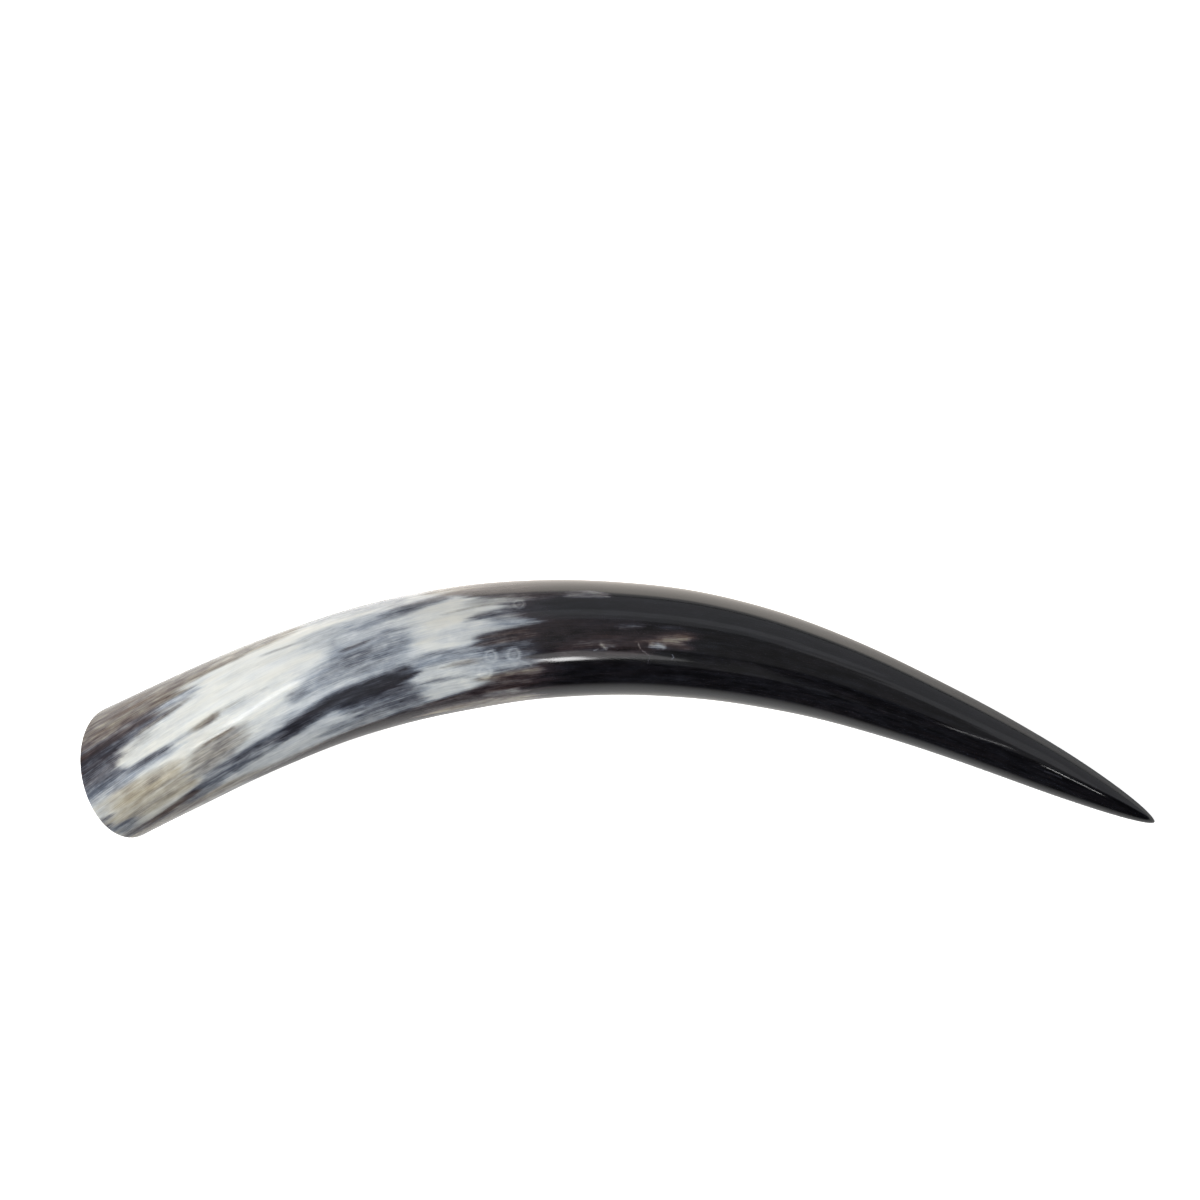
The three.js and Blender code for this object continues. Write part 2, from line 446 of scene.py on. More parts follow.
def horn_rows(horn):
    """The surface as rows of points, from the hollow's end out over the rim and along the skin to the tip.

    Every row is a share and a scale for each column. The hollow's and the skin's rows start at the saw cut,
    the sawn face's lie in it, and both of the rim's edges are quarter rounds.
    """
    shape = horn.shape
    turn = np.linspace(0, 2 * np.pi, COLUMNS + 1)[:-1]
    half = horn.half_width(shape.saw_share)
    edge = shape.edge_round / half
    grown = horn.lengths[-1] / (1 - shape.saw_share)
    quarter = np.linspace(0, np.pi / 2, EDGE_ROWS)
    rows = []

    def add_row(share, scale):
        rows.append((share, np.broadcast_to(scale, COLUMNS)))

    inner = shape.hollow_ratio
    mouth = horn.saw_share(turn, inner) + shape.edge_round / grown
    for reach in (np.arange(1, HOLLOW_ROWS) / HOLLOW_ROWS) ** HOLLOW_CROWDING:
        share = shape.hollow_end + (mouth - shape.hollow_end) * reach
        add_row(share, hollow_scale(share, shape))
    for angle in quarter[:-1]:
        scale = inner + edge * (1 - math.cos(angle))
        share = horn.saw_share(turn, scale) + shape.edge_round / grown * (1 - math.sin(angle))
        add_row(share, scale)
    for scale in np.linspace(inner + edge, 1 - edge, FACE_ROWS):
        add_row(horn.saw_share(turn, scale), scale)
    for angle in quarter[1:]:
        scale = 1 - edge * (1 - math.sin(angle))
        share = horn.saw_share(turn, scale) + shape.edge_round / grown * (1 - math.cos(angle))
        add_row(share, scale)
    start = rows[-1][0]
    even = (1 - TIP_PART) * (np.arange(1, SKIN_ROWS) / SKIN_ROWS)
    crowded = 1 - TIP_PART * (1 - np.arange(TIP_ROWS) / TIP_ROWS) ** 2
    for step in np.concatenate([even, crowded]):
        add_row(start + (1 - start) * step, 1)
    shares = np.array([row[0] for row in rows])
    scales = np.array([row[1] for row in rows])
    return shares, np.broadcast_to(turn, shares.shape), scales


def lay_pigment(along, round_degrees, mm_per_degree):
    """How light and how warm the keratin is at each point, from its ground colour and the streaks over it.

    A streak's cover falls off across its width and past its ends, with its edges pushed about by noise that
    is long along the fibres. Its width swells to the middle and narrows to the ends.
    """
    fibre = round_degrees + fibre_drift(along)

    def noise(cell_along, cells_around, seed):
        return streaky_noise(along, fibre, cell_along, cells_around, seed)

    ragged = 0.5 * noise(40, 60, 3) + 0.5 * noise(20, 36, 4) + 0.9 * noise(11, 144, 12)
    wander = noise(35, 40, 5)
    cloud = 0.6 * noise(22, 22, 6) + 0.4 * noise(10, 45, 8)
    patchy = 0.86 + 0.14 * noise(24, 80, 9) + 0.1 * cloud

    # The pale ground is creamy near the rim and bluish further up. The dark ground starts brown.
    light = 0.87 + 0.08 * cloud
    warm = 0.25 - 0.5 * smooth_step(along / 100) + 0.2 * noise(50, 14, 7)

    def lay(pigment, cover):
        nonlocal light, warm
        tone, warmth = PIGMENTS[pigment]
        light = light + (tone - light) * cover
        warm = warm + (warmth - warm) * cover

    def streak(pigment, start, start_turn, end, end_turn, start_width, end_width, blur, cover):
        reach = (along + 4 * ragged - start) / (end - start)
        middle = start_turn + (end_turn - start_turn) * (along - start) / (end - start)
        width = start_width + (end_width - start_width) * np.clip(reach, 0, 1)
        swell = 1 - np.abs(2 * np.clip(reach, 0, 1) - 1) ** 4
        apart = (round_degrees - middle + 180) % 360 - 180
        inside = width / 2 * swell - np.abs(apart * mm_per_degree + 0.8 * wander)
        ends = np.minimum(reach, 1 - reach) * (end - start)
        fade = 2 + 2.2 * blur
        cover = cover * np.clip(patchy, 0, 1)
        lay(pigment, cover * smooth_step(inside / blur + 0.5) * smooth_step(ends / fade + 0.2))

    # The hidden side: the same kinds of streak, scattered.
    rng = np.random.default_rng(11)
    for _ in range(60):
        pigment = rng.choice(["ivory", "slate", "charcoal", "black", "brown", "tan", "veil", "umber", "moss"])
        start = rng.uniform(-20, 140)
        length = rng.uniform(25, 80)
        turn = rng.uniform(88, 272)
        width = rng.uniform(2.5, 10)
        cover = rng.uniform(0.5, 0.9)
        streak(pigment, start, turn, start + length, turn - 0.3 * length, width, 0.7 * width, 3, cover)

    for row in PALE_STREAKS:
        streak(*row)

    # Past the ring the ground is pale, then brown, later so on two tongues of pale fibres, and then black.
    ring_here = RING_PLACE + RING_SLANT * smooth_step(round_degrees / 20)
    past_ring = smooth_step((along + 1.2 * ragged - ring_here + RING_EDGE / 2) / RING_EDGE)
    lay("pearl", 0.75 * past_ring)
    frayed = along + 6 * ragged + 3 * cloud

    def tongue(degrees, half_width):
        return smooth_step((half_width - np.abs(round_degrees - degrees)) / 8)

    late = 14 * tongue(-27, 19) + 16 * tongue(22, 13)
    lay("umber", 0.92 * smooth_step((frayed - DARK_PLACE - late) / DARK_RUN))
    for row in FADING_STREAKS:
        streak(*row)
    lay("black", smooth_step((frayed - BLACK_PLACE + BLACK_RUN) / BLACK_RUN))
    for row in DARK_STREAKS:
        streak(*row)
    return np.clip(light, 0, 1), np.clip(warm, -1, 1)


def fibre_drift(along):
    """How many degrees the fibres have wound by each place: the whole twist, less an exponential decay."""
    return FIBRE_TWIST * (1 - np.exp(-np.asarray(along) / TWIST_RUN))


def closed_mesh(name, points, first_pole, last_pole):
    """A mesh of rows of points closed round, with a pole at each end, its faces pointing out."""
    rows, columns, _ = points.shape
    vertices = np.concatenate([points.reshape(-1, 3), [first_pole, last_pole]])
    place = np.arange(rows * columns).reshape(rows, columns)
    after = np.roll(place, -1, axis=1)
    quads = np.stack([place[:-1], after[:-1], after[1:], place[1:]], -1).reshape(-1, 4)
    ends = rows * columns
    first = np.stack([np.full(columns, ends), after[0], place[0]], -1)
    last = np.stack([place[-1], after[-1], np.full(columns, ends + 1)], -1)
    mesh = bpy.data.meshes.new(name)
    mesh.from_pydata(vertices, [], quads.tolist() + first.tolist() + last.tolist())
    mesh.polygons.foreach_set("use_smooth", np.ones(len(mesh.polygons), bool))
    return mesh


def point_attribute(mesh, name, values, ends):
    """A number or a vector for each point of the rows, and then for the two poles."""
    kind, field = ("FLOAT", "value") if values.ndim == 2 else ("FLOAT_VECTOR", "vector")
    attribute = mesh.attributes.new(name, kind, "POINT")
    attribute.data.foreach_set(field, np.append(values, ends).astype(np.float32))


def add_node(tree, kind, settings=None, inputs=None):
    """A node with its settings, and its inputs set to a value or linked to another node's output."""
    node = tree.nodes.new(kind)
    for name, value in (settings or {}).items():
        setattr(node, name, value)
    for name, value in (inputs or {}).items():
        if isinstance(value, bpy.types.NodeSocket):
            tree.links.new(value, node.inputs[name])
        else:
            node.inputs[name].default_value = value
    return node


def set_ramp(node, stops):
    """Give a colour ramp its stops, each a place and a colour's hex digits."""
    elements = node.color_ramp.elements
    while len(elements) < len(stops):
        elements.new(0.5)
    for element, (position, hex_code) in zip(elements, stops):
        element.position = position
        element.color = (*srgb(hex_code), 1)


def new_material(name):
    material = bpy.data.materials.new(name)
    material.use_nodes = True
    material.node_tree.nodes.clear()
    return material, material.node_tree


def finish_material(tree, shader):
    add_node(tree, "ShaderNodeOutputMaterial", inputs={"Surface": shader.outputs[0]})


def fibre_noise(tree, grain, length, width, detail=2.0):
    """Noise stretched along the fibres: length and width are the real sizes of one streak, in metres."""
    scale = (1 / length, 1 / width, 1 / width)
    mapped = add_node(tree, "ShaderNodeMapping", {"vector_type": "POINT"}, {"Vector": grain, "Scale": scale})
    drawn = {"Vector": mapped.outputs[0], "Scale": 1.0, "Detail": detail, "Roughness": 0.6}
    return add_node(tree, "ShaderNodeTexNoise", inputs=drawn).outputs["Fac"]


def mark_on_skin(horn, place, degrees):
    """The place attribute at a place on the skin: metres from the rim, and metres round from the top."""
    return (place * MM, float(math.radians(degrees) * horn.half_width(horn.share_at(place))), 0)


# What light and warmth turn to, from dark to light: grey, brown and bluish colours.
COOL_COLOURS = [
    (0.0, "#070709"),
    (0.25, "#2b2a31"),
    (0.47, "#5e6169"),
    (0.7, "#969a9e"),
    (0.88, "#bfc3c3"),
    (1.0, "#d8d9d3"),
]
WARM_COLOURS = [
    (0.0, "#0d0908"),
    (0.25, "#372927"),
    (0.42, "#5b4b42"),
    (0.6, "#7b705e"),
    (0.8, "#a59b83"),
    (1.0, "#c8c2b0"),
]
BLUE_COLOURS = [
    (0.0, "#07080b"),
    (0.47, "#545b67"),
    (0.7, "#8f98a3"),
    (1.0, "#ccd1d5"),
]
KERATIN_IOR = 1.54


def keratin_surface(tree, colour, roughness, bump, cloudiness, depths):
    """The surface of horn keratin: part of the light sinks in some millimetres deep, red the deepest."""
    shader = add_node(
        tree,
        "ShaderNodeBsdfPrincipled",
        inputs={
            "Base Color": colour.outputs["Result"],
            "Roughness": roughness,
            "IOR": KERATIN_IOR,
            "Subsurface Weight": cloudiness,
            "Subsurface Radius": depths,
            "Subsurface Scale": MM,
            "Normal": bump.outputs[0],
        },
    )
    finish_material(tree, shader)


def polished_keratin(finish, horn):
    """Polished horn keratin, scraped and buffed by hand: a deep gloss over fibres of mixed pigment.

    The pigment attribute says how light the horn is, and the warmth attribute how brown. Fibre noise shifts
    both, most where light and dark mix, so that streaks end in fine hairs, and three ramps colour them.
    """
    material, tree = new_material("Polished horn keratin")

    def calculate(operation, first, second=0.0, third=0.0):
        node = add_node(tree, "ShaderNodeMath", {"operation": operation}, {0: first, 1: second, 2: third})
        return node.outputs[0]

    def vectors(operation, first, second, output="Vector"):
        node = add_node(tree, "ShaderNodeVectorMath", {"operation": operation}, {0: first, 1: second})
        return node.outputs[output]

    grain = add_node(tree, "ShaderNodeAttribute", {"attribute_name": "grain"}).outputs["Vector"]
    place = add_node(tree, "ShaderNodeAttribute", {"attribute_name": "place"}).outputs["Vector"]
    pigment = add_node(tree, "ShaderNodeAttribute", {"attribute_name": "pigment"}).outputs["Fac"]
    warmth = add_node(tree, "ShaderNodeAttribute", {"attribute_name": "warmth"}).outputs["Fac"]
    broad = fibre_noise(tree, grain, 30 * MM, 2.4 * MM)
    fine = fibre_noise(tree, grain, 8 * MM, 0.45 * MM, 3.0)
    cloud = fibre_noise(tree, grain, 9 * MM, 4 * MM, 4.0)
    tinge = fibre_noise(tree, grain, 30 * MM, 4 * MM)

    # Fibres of different pigment show most at middle tones: p (1 - p), with a little everywhere.
    mixed = calculate("MULTIPLY", pigment, calculate("SUBTRACT", 1.0, pigment))
    contrast = calculate("MULTIPLY_ADD", mixed, 2.3, 0.12)
    uneven = calculate("MULTIPLY_ADD", broad, 0.6, -0.3)
    uneven = calculate("ADD", uneven, calculate("MULTIPLY_ADD", fine, 0.75, -0.375))
    uneven = calculate("ADD", uneven, calculate("MULTIPLY_ADD", cloud, 0.9, -0.45))
    light_here = calculate("MULTIPLY_ADD", uneven, contrast, pigment)
    brown = calculate("MULTIPLY_ADD", calculate("SUBTRACT", tinge, 0.5), 0.9, warmth)

    # Marks are drawn a little crooked: the place is pushed about by noise first.
    wobbly = {"Vector": place, "Scale": WOBBLES_PER_METRE, "Detail": 2.0}
    crooked = add_node(tree, "ShaderNodeTexNoise", inputs=wobbly)
    push = vectors("SUBTRACT", crooked.outputs["Color"], (0.5, 0.5, 0.5))
    pushed = vectors("ADD", place, vectors("MULTIPLY", push, (WOBBLE * MM, WOBBLE * MM, 0)))
    flat = vectors("MULTIPLY", pushed, (1, 1, 0))
    marks = 0.0
    for along_mm, degrees, radius, plainness in RINGS:
        distance = vectors("DISTANCE", flat, mark_on_skin(horn, along_mm, degrees), "Value")
        off_ring = calculate("ABSOLUTE", calculate("SUBTRACT", distance, radius * MM))
        mark = calculate("MULTIPLY_ADD", off_ring, -plainness / (RING_LINE * MM), plainness)
        inner = calculate("MULTIPLY_ADD", distance, -0.6 * plainness / (radius * MM), 0.8 * plainness)
        marks = calculate("MAXIMUM", marks, calculate("MAXIMUM", mark, inner))
    for start, start_turn, end, end_turn, width, plainness in SCRATCHES:
        first = Vector(mark_on_skin(horn, start, start_turn))
        run = Vector(mark_on_skin(horn, end, end_turn)) - first
        offset = vectors("SUBTRACT", flat, first)
        reach = vectors("DOT_PRODUCT", offset, run / run.length_squared, "Value")
        reach = calculate("MINIMUM", calculate("MAXIMUM", reach, 0.0), 1.0)
        nearest = add_node(tree, "ShaderNodeVectorMath", {"operation": "SCALE"}, {0: run, "Scale": reach})
        distance = vectors("DISTANCE", offset, nearest.outputs[0], "Value")
        mark = calculate("MULTIPLY_ADD", distance, -plainness / (width * MM), plainness)
        marks = calculate("MAXIMUM", marks, mark)
    marks = calculate("MULTIPLY", marks, calculate("MULTIPLY_ADD", fine, 1.6, 0.1))
    to_pale = calculate("SUBTRACT", 0.85, light_here)
    light_here = calculate("MULTIPLY_ADD", calculate("MAXIMUM", to_pale, 0.1), marks, light_here)

    ramps = []
    for stops in (COOL_COLOURS, WARM_COLOURS, BLUE_COLOURS):
        ramp = add_node(tree, "ShaderNodeValToRGB", inputs={"Fac": light_here})
        set_ramp(ramp, stops)
        ramps.append(ramp.outputs[0])
    mixing = {"data_type": "RGBA", "clamp_factor": True}
    warmer = add_node(tree, "ShaderNodeMix", mixing, {"Factor": brown, "A": ramps[0], "B": ramps[1]})
    bluish = calculate("MULTIPLY", brown, -2.0)
    bluer = add_node(
        tree, "ShaderNodeMix", mixing, {"Factor": bluish, "A": warmer.outputs["Result"], "B": ramps[2]}
    )
    roughness = calculate("MULTIPLY_ADD", fine, 0.06, finish.polish_roughness - 0.03)
    # The fibres stand a few thousandths of a millimetre proud of the polish, enough to break its reflections.
    bump = add_node(tree, "ShaderNodeBump", inputs={"Strength": 0.2, "Distance": 0.02 * MM, "Height": fine})
    keratin_surface(tree, bluer, roughness, bump, 0.12, (3.0, 2.4, 1.8))
    return material


def sawn_keratin(finish):
    """Raw horn keratin as a saw and a rasp leave it: matt, chalky and ridged, greyish tan."""
    material, tree = new_material("Sawn horn keratin")
    grain = add_node(tree, "ShaderNodeAttribute", {"attribute_name": "grain"}).outputs["Vector"]
    ridges = fibre_noise(tree, grain, 18 * MM, 1.6 * MM, 4.0)
    blotches = fibre_noise(tree, grain, 22 * MM, 9 * MM)
    colour = add_node(tree, "ShaderNodeValToRGB", inputs={"Fac": ridges})
    set_ramp(colour, [(0.3, "#5d5347"), (0.5, "#8f8471"), (0.72, "#b8ad98")])
    stained = add_node(
        tree,
        "ShaderNodeMix",
        {"data_type": "RGBA", "blend_type": "MULTIPLY"},
        {"Factor": blotches, "A": colour.outputs[0], "B": (*srgb("#8d8175"), 1)},
    )
    # Rasp ridges about 0.2 mm high.
    bump = add_node(tree, "ShaderNodeBump", inputs={"Strength": 0.8, "Distance": 0.2 * MM, "Height": ridges})
    keratin_surface(tree, stained, finish.sawn_roughness, bump, 0.1, (3.0, 2.2, 1.6))
    return material


# The brightest light below the table is an oval, twice as long as wide: its middle is this far to the outside
# of the bend, and it fades between two radii, in metres. What shows of the table directly glows all over.
GLOW_MIDDLE = 0.165
GLOW_RADII = (0.05, 0.21)
DIRECT_GLOW = 0.8
# Painted reflection: the mirrored table is painted dark, turning white between two places across the bend.
MIRRORED_DARK_TO_WHITE = (-0.2, -0.02)


def table_top(studio):
    """A plain white light table: matt, and lit from below, so that only faint shadows show on it.

    The polish mirrors it bright beyond the outside of the bend and dark off the inside, where it is painted
    dark for mirrored rays only: a painted reflection. Seen directly it is white all over.
    """
    material, tree = new_material("Pale table")
    camera_ray = add_node(tree, "ShaderNodeLightPath").outputs["Is Camera Ray"]
    place = add_node(tree, "ShaderNodeTexCoord").outputs["Object"]
    spread = add_node(
        tree,
        "ShaderNodeMapping",
        {"vector_type": "POINT"},
        {"Vector": place, "Location": (0, -GLOW_MIDDLE, 0), "Scale": (0.5, 1, 1)},
    )
    distance = add_node(tree, "ShaderNodeVectorMath", {"operation": "LENGTH"}, {0: spread.outputs[0]})
    smooth = {"interpolation_type": "SMOOTHSTEP"}
    full, gone = GLOW_RADII
    fade = {"Value": distance.outputs["Value"], "From Min": full, "From Max": gone, "To Min": 1, "To Max": 0}
    near = add_node(tree, "ShaderNodeMapRange", smooth, fade)
    axes = add_node(tree, "ShaderNodeSeparateXYZ", inputs={"Vector": place})
    # Painted reflection: rays that are not the camera's see the table painted dark off the inside of the
    # bend.
    dark, white = MIRRORED_DARK_TO_WHITE
    whitening = {"Value": axes.outputs["Y"], "From Min": dark, "From Max": white}
    outer = add_node(tree, "ShaderNodeMapRange", smooth, whitening)
    seen = add_node(tree, "ShaderNodeMath", {"operation": "MAXIMUM"}, {0: outer.outputs[0], 1: camera_ray})
    mixing = {"data_type": "RGBA"}
    ground = {"Factor": seen.outputs[0], "A": (*srgb("#272727"), 1), "B": (*studio.floor_colour, 1)}
    colour = add_node(tree, "ShaderNodeMix", mixing, ground)
    direct = add_node(tree, "ShaderNodeMath", {"operation": "MULTIPLY"}, {0: camera_ray, 1: DIRECT_GLOW})
    both = {0: near.outputs[0], 1: studio.floor_glow, 2: direct.outputs[0]}
    glow = add_node(tree, "ShaderNodeMath", {"operation": "MULTIPLY_ADD"}, both)
    # The lamps below are warm, but their light seen directly is white.
    lamps = {"Factor": camera_ray, "A": (*srgb("#fff3e5"), 1), "B": (*srgb("#ffffff"), 1)}
    glow_colour = add_node(tree, "ShaderNodeMix", mixing, lamps)
    shader = add_node(
        tree,
        "ShaderNodeBsdfPrincipled",
        inputs={
            "Base Color": colour.outputs["Result"],
            "Roughness": 0.6,
            "Specular IOR Level": 0.2,
            "Emission Color": glow_colour.outputs["Result"],
            "Emission Strength": glow.outputs[0],
        },
    )
    finish_material(tree, shader)
    return material


def a_length(name, description, default):
    return bpy.props.FloatProperty(
        name=name, description=description, default=default, unit="LENGTH", precision=4
    )


def a_share(name, description, default):
    return bpy.props.FloatProperty(
        name=name, description=description, default=default, min=0, max=4, precision=3
    )


def a_light(name, description, default):
    return bpy.props.FloatProperty(name=name, description=description, default=default, min=0)


def an_angle(name, description, degrees):
    return bpy.props.FloatProperty(
        name=name, description=description, default=math.radians(degrees), subtype="ANGLE", unit="ROTATION"
    )


def a_colour(name, description, hex_code):
    return bpy.props.FloatVectorProperty(
        name=name, description=description, default=srgb(hex_code), subtype="COLOR", size=3, min=0, max=1
    )


class HornShape(bpy.types.PropertyGroup):
    """The horn's form beside its stations."""

    flatness: a_share("Flatness", "Height over width of the section at the base", 0.92)
    tip_bluntness: a_share("Tip bluntness", "1 makes the tip a plain cone, and 2 a round nose", 1.6)
    rest_share: a_share("Rim's foot", "Where the rim's foot stands on the grown length", 0.085)
    arch_lift: a_length("Arch lift", "How far the arches between the rests rise, over 0.58", 0.010)
    saw_share: a_share("Saw place", "Where the saw cut crosses the axis", 0.063)
    saw_heading: an_angle("Saw heading", "Heading of the saw cut's normal, seen from above", 14.5)
    saw_lean: an_angle("Saw lean", "How far the saw cut leans over", 25.5)
    hollow_ratio: a_share("Hollow width", "The hollow's width over the horn's at the saw cut", 0.84)
    hollow_end: a_share("Hollow end", "Where the hollow closes", 0.64)
    hollow_taper: a_share("Hollow taper", "The wall stays thin for longer as this grows", 2.2)
    edge_round: a_length("Edge round", "Radius of the rim's worn edges", 0.0007)
    waviness: a_share("Waviness", "Height of the scraping waves over the half width", 0.003)


class HornFinish(bpy.types.PropertyGroup):
    """The horn's surfaces."""

    polish_roughness: a_share("Polish", "Roughness of the buffed skin", 0.1)
    sawn_roughness: a_share("Sawn roughness", "Roughness of the rim and the hollow", 0.75)


class StudioSettings(bpy.types.PropertyGroup):
    """The camera, the floor and the light."""

    camera_height: a_length("Camera height", "Above the table", 0.85)
    lens: bpy.props.FloatProperty(name="Lens", description="Focal length on 36 mm film", default=55.2)
    floor_colour: a_colour("Floor", "Colour of the table", "#f2f2f0")
    floor_glow: a_light("Floor glow", "Light from below the translucent table, round its middle", 1.35)
    wall_brightness: a_light("Walls", "Radiance of the bright walls", 0.56)
    wall_tint: a_colour("Wall tint", "Colour of the light from the walls", "#f6f8ff")
    ceiling_brightness: a_light("Ceiling", "Radiance of the dim ceiling", 0.28)
    key_brightness: a_light("Key", "Radiance of the two key lights", 9.6)


class HornOperator:
    """What every operator here shares."""

    bl_options = {"REGISTER", "UNDO"}


def rasp_hollow(horn, shares, turns, scales):
    """The scales with low waves on the hollow's wall, about 0.4 mm high, that die out towards the rim."""
    along = horn.millimetres(shares)
    degrees = np.degrees(turns)
    depth = smooth_step((along - RASP_START) / RASP_RUN)
    rough = streaky_noise(along, degrees, 20, 30, 21) + 0.6 * streaky_noise(along, degrees, 9, 60, 22)
    in_hollow = scales <= horn.shape.hollow_ratio
    return scales * (1 + np.where(in_hollow, RASP_HEIGHT * rough * depth, 0))


def lay_attributes(mesh, horn, shares, turns, scales):
    """Give the mesh what its materials read: pigment and warmth, the grain, and the place on the skin.

    The grain is the place on a straight rod whose fibres run along it.
    """
    along = horn.millimetres(shares)
    turned = (np.degrees(turns) + 180) % 360 - 180
    mm_per_degree = np.radians(1) * np.maximum(horn.half_width(shares), 2 * MM) / MM
    light, warm = lay_pigment(along, turned, mm_per_degree)
    point_attribute(mesh, "pigment", light, [light[0, 0], light[-1, 0]])
    point_attribute(mesh, "warmth", warm, [0, 0])

    fibre = np.radians(turned + fibre_drift(along))
    around = STATIONS[0][2] / 2 * MM * scales
    grain = np.stack([along * MM, np.cos(fibre) * around, np.sin(fibre) * around], -1)
    place = np.stack([along * MM, turned * mm_per_degree * MM, 0 * along], -1)
    ends = [[along[0, 0] * MM, 0, 0], [along[-1, 0] * MM, 0, 0]]
    point_attribute(mesh, "grain", grain, ends)
    point_attribute(mesh, "place", place, ends)


class GrowHorn(HornOperator, bpy.types.Operator):
    """Grow the horn: its skin, rim and hollow in one surface, with pigment along its fibres"""

    bl_idname = "horn.grow"
    bl_label = "Grow the horn"

    def execute(self, context):
        shape, finish = context.scene.horn_shape, context.scene.horn_finish
        horn = GrownHorn(shape)
        shares, turns, scales = horn_rows(horn)
        scales = rasp_hollow(horn, shares, turns, scales)
        points = horn.skin(shares, turns, scales)
        poles = [horn.skin(shape.hollow_end, 0.0, 0.0), horn.axis(1.0)]

        # The origin is the middle of the footprint, on the table.
        everything = np.concatenate([points.reshape(-1, 3), poles])
        low, high = everything.min(0), everything.max(0)
        origin = np.array([(low[0] + high[0]) / 2, (low[1] + high[1]) / 2, low[2]])
        mesh = closed_mesh("horn", points - origin, poles[0] - origin, poles[1] - origin)
        lay_attributes(mesh, horn, shares, turns, scales)

        # The hollow with its end and the sawn face are raw; the polish starts half way over the outer edge.
        mesh.materials.append(polished_keratin(finish, horn))
        mesh.materials.append(sawn_keratin(finish))
        rows, columns = scales.shape
        first_skin_row = int(np.argmax(scales[:, 0] >= 1))
        polish_row = first_skin_row - EDGE_ROWS // 2
        quads = (rows - 1) * columns
        slots = np.zeros(len(mesh.polygons), np.int32)
        slots[: polish_row * columns] = 1
        slots[quads : quads + columns] = 1
        mesh.polygons.foreach_set("material_index", slots)
        mesh.validate()

        piece = bpy.data.objects.new("horn_sheath", mesh)
        context.collection.objects.link(piece)
        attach(piece, "root")
        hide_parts("horn")
        return {"FINISHED"}


# The camera looked almost straight down: where it stood over the table and where it looked, in metres.
CAMERA_OVER = (-0.0242, -0.0101)
AIM = (-0.0149, 0.0501)
FILM_WIDTH = 36


def stand(thing, place, right, up, forward):
    """Put a lamp or a camera at a place, turned to look forward."""
    turned = Matrix((right, up, -forward)).transposed().to_4x4()
    thing.matrix_world = Matrix.Translation(place) @ turned


def aim(thing, place, target):
    """Put a camera at a place, looking at a target, with the picture's up towards +Y."""
    forward = (Vector(target) - Vector(place)).normalized()
    right = forward.cross(Vector((0, 1, 0))).normalized()
    stand(thing, place, right, right.cross(forward), forward)


def add_panel(name, corner, across, along, radiance, tint=(1, 1, 1)):
    """A soft panel on two edges from a corner, that shines along their cross product."""
    corner, across, along = Vector(corner), Vector(across), Vector(along)
    lamp = bpy.data.lights.new(name, "AREA")
    lamp.shape = "RECTANGLE"
    lamp.size, lamp.size_y = across.length, along.length
    lamp.energy = radiance * math.pi * across.length * along.length
    lamp.color = tint
    thing = bpy.data.objects.new(name, lamp)
    facing = across.cross(along).normalized()
    sideways = across.normalized()
    stand(thing, corner + across / 2 + along / 2, sideways, (-facing).cross(sideways), facing)
    thing.visible_camera = False
    bpy.context.collection.objects.link(thing)
    return thing


# Glints: each starts and ends at a place on the skin, given as on the streaks, with its width in degrees and
# its brightness. A narrow strip stands where those places mirror it to the camera, this far off in metres.
GLINTS = [
    ("Base glint", 38, 12, 58, 9, 1.0, 9.0),
    ("Upper base glint", 57, 7, 90, -6, 3.0, 5.0),
    ("Base sheen", 50, 6, 100, -10, 9.0, 1.2),
    ("Middle glint", 196, 23.4, 212, 22.2, 3.6, 15.0),
    ("Middle sheen", 188, 22, 236, 17, 10.0, 1.4),
    ("Near tip glint", 381, 12, 412, 0, 0.5, 8.0),
    ("Tip glint", 430, 5, 461, 5, 0.7, 14.0),
]
STRIP_DISTANCE = 0.2


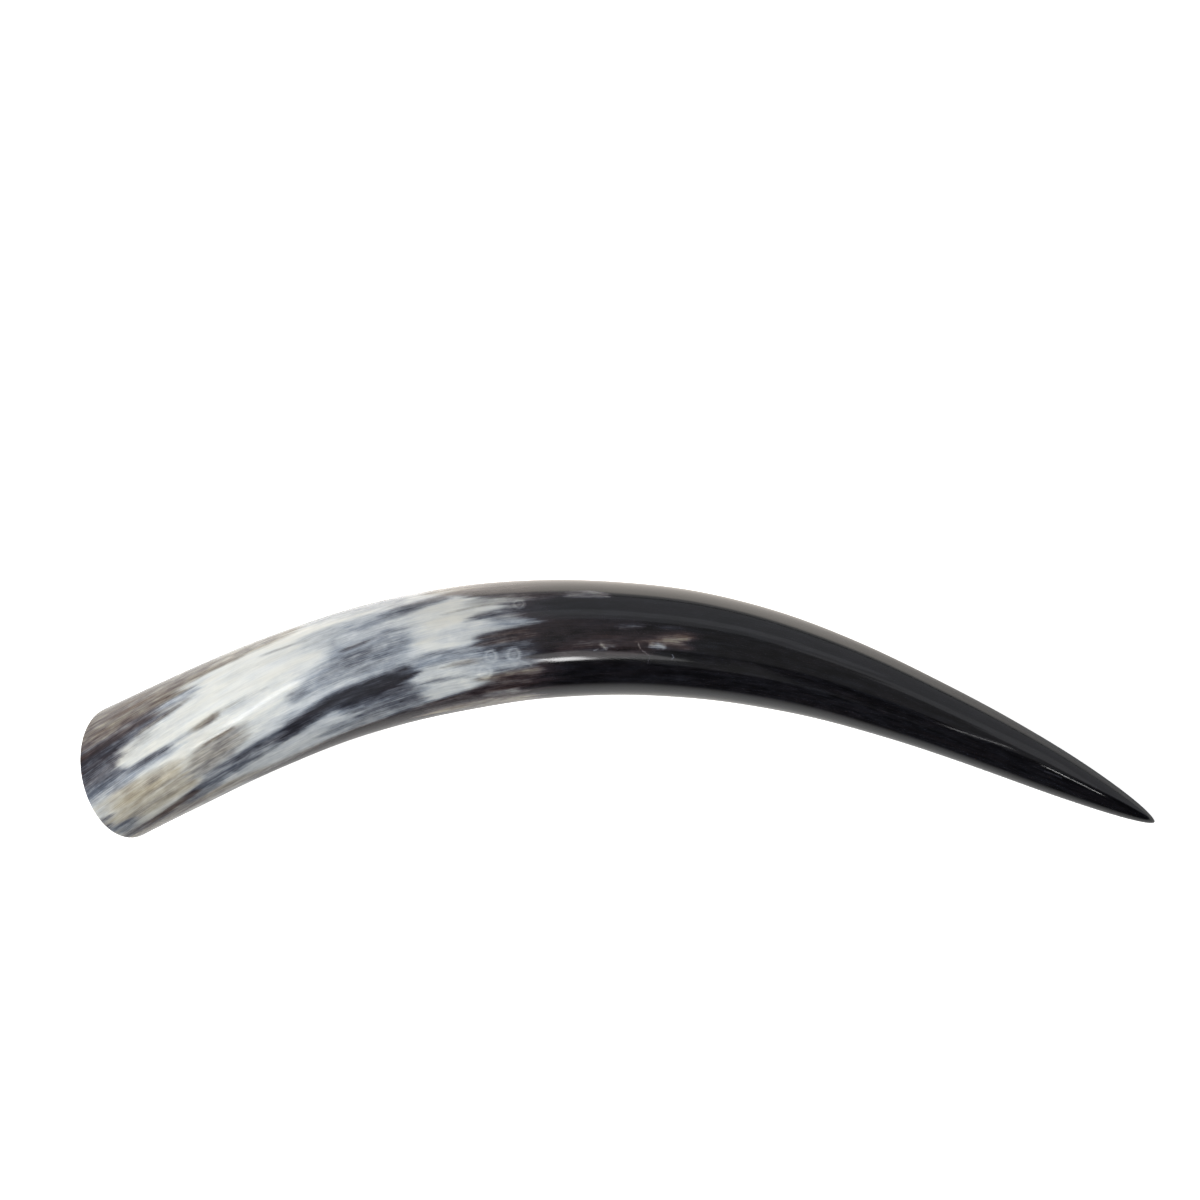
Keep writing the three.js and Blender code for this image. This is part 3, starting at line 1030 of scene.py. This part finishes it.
class SetStage(HornOperator, bpy.types.Operator):
    """Set up the pale table, the soft light and the camera"""

    bl_idname = "horn.stage"
    bl_label = "Set the stage"

    def execute(self, context):
        studio = context.scene.horn_studio
        self.add_floor(context, studio)
        eye = (*CAMERA_OVER, studio.camera_height)
        camera = bpy.data.objects.new("Camera", bpy.data.cameras.new("Camera"))
        camera.data.lens = studio.lens
        camera.data.sensor_width = FILM_WIDTH
        camera.data.dof.use_dof = False
        context.collection.objects.link(camera)
        aim(camera, eye, (*AIM, 0))
        context.scene.camera = camera
        context.scene.view_settings.view_transform = "Standard"
        self.add_light(context, studio)
        self.add_glints(context, eye)
        return {"FINISHED"}

    def add_floor(self, context, studio):
        mesh = bpy.data.meshes.new("floor")
        reach = 8
        corners = [(-reach, -reach, 0), (reach, -reach, 0), (reach, reach, 0), (-reach, reach, 0)]
        mesh.from_pydata(corners, [], [(0, 1, 2, 3)])
        mesh.materials.append(table_top(studio))
        floor = bpy.data.objects.new("floor", mesh)
        context.collection.objects.link(floor)

    def add_light(self, context, studio):
        # Bright walls beyond the outside of the bend and a dim ceiling: these are what the polish mirrors.
        walls = (
            ("Window wall", (-2.5, 1.5, 0.05), (3.5, 0, 0), 2.2, 1),
            ("Corner wall", (1.0, 1.5, 0.05), (0.6, -0.45, 0), 2.25, 1),
            ("Right wall", (1.6, 1.05, 0.05), (0.6, -0.45, 0), 2.8, 1),
            ("Far wall", (2.2, 0.6, 0.05), (1.6, -1.2, 0), 3.5, 1),
            ("Wall's sheen", (0.05, 1.49, 1.15), (1.0, 0, 0), 0.5, 0.45),
            ("Corner's sheen", (1.05, 1.45, 1.2), (0.25, -0.19, 0), 0.5, 0.45),
        )
        for name, corner, run, height, level in walls:
            add_panel(name, corner, run, (0, 0, height), level * studio.wall_brightness, studio.wall_tint)
        ceilings = (
            ("Ceiling", (-2.6, 1.05, 1.6), 2.88, 2.9, 1),
            ("Far ceiling", (0.28, 1.05, 1.6), 2.4, 1.57, 0.7),
        )
        for name, corner, run, depth, level in ceilings:
            add_panel(name, corner, (run, 0, 0), (0, -depth, 0), level * studio.ceiling_brightness)
        # The two key lights stand low off the sawn end, and the polish doesn't mirror them.
        keys = (
            ("Left key", (-2.2, -0.6, 0.5), (0, 1.4, 0)),
            ("Near key", (-1.1, -1.9, 0.5), (-1.1, 1.2, 0)),
        )
        for name, corner, run in keys:
            key = add_panel(name, corner, run, (0, 0, 1.2), studio.key_brightness)
            key.visible_glossy = False
        world = bpy.data.worlds.new("Studio")
        world.use_nodes = True
        tree = world.node_tree
        tree.nodes.clear()
        camera_ray = add_node(tree, "ShaderNodeLightPath").outputs["Is Camera Ray"]
        room = {"Factor": camera_ray, "A": (*srgb("#27272a"), 1), "B": (*srgb("#e7e7e7"), 1)}
        seen = add_node(tree, "ShaderNodeMix", {"data_type": "RGBA"}, room)
        background = add_node(tree, "ShaderNodeBackground", inputs={"Color": seen.outputs["Result"]})
        add_node(tree, "ShaderNodeOutputWorld", inputs={"Surface": background.outputs[0]})
        context.scene.world = world

    def add_glints(self, context, eye):
        eye = np.array(eye)
        horn = GrownHorn(context.scene.horn_shape)
        for name, start, start_turn, end, end_turn, width, brightness in GLINTS:
            sides = (-width / 2, width / 2)
            first, second = (self.mirror(horn, start, start_turn + side, eye) for side in sides)
            third, fourth = (self.mirror(horn, end, end_turn + side, eye) for side in sides)
            across = ((second - first) + (fourth - third)) / 2
            run = (third + fourth - first - second) / 2
            across -= across.project(run)
            centre = (first + second + third + fourth) / 4
            # The strip shines back to the horn, which lies round the origin.
            if across.cross(run).dot(centre) > 0:
                run = -run
            add_panel(name, centre - across / 2 - run / 2, across, run, brightness)

    def mirror(self, horn, place, degrees, eye):
        """Where the camera's sight comes to, at the strips' distance, off a place on the skin."""
        share = horn.share_at(place)
        turn = math.radians(degrees)
        point = horn.skin(share, turn)
        ahead = horn.skin(share + 1e-4, turn) - point
        around = horn.skin(share, turn + 1e-3) - point
        normal = np.cross(around, ahead)
        normal /= np.linalg.norm(normal)
        sight = (point - eye) / np.linalg.norm(point - eye)
        return Vector(point + STRIP_DISTANCE * (sight - 2 * (sight @ normal) * normal))


class HornPanel(bpy.types.Panel):
    """The steps that make the horn, in order"""

    bl_idname = "VIEW3D_PT_cow_horn"
    bl_label = "Cow horn"
    bl_space_type = "VIEW_3D"
    bl_region_type = "UI"
    bl_category = "Cow horn"

    def draw(self, context):
        for settings in (context.scene.horn_shape, context.scene.horn_finish, context.scene.horn_studio):
            for name in settings.__annotations__:
                self.layout.prop(settings, name)
        for operator in (GrowHorn, SetStage):
            self.layout.operator(operator.bl_idname)


CLASSES = (HornShape, HornFinish, StudioSettings, GrowHorn, SetStage, HornPanel)


def register():
    for each in CLASSES:
        bpy.utils.register_class(each)
    bpy.types.Scene.horn_shape = bpy.props.PointerProperty(type=HornShape)
    bpy.types.Scene.horn_finish = bpy.props.PointerProperty(type=HornFinish)
    bpy.types.Scene.horn_studio = bpy.props.PointerProperty(type=StudioSettings)


def unregister():
    del bpy.types.Scene.horn_studio
    del bpy.types.Scene.horn_finish
    del bpy.types.Scene.horn_shape
    for each in reversed(CLASSES):
        bpy.utils.unregister_class(each)


def main():
    register()
    bpy.ops.horn.stage()
    bpy.ops.horn.grow()


if __name__ == "__main__":
    main()
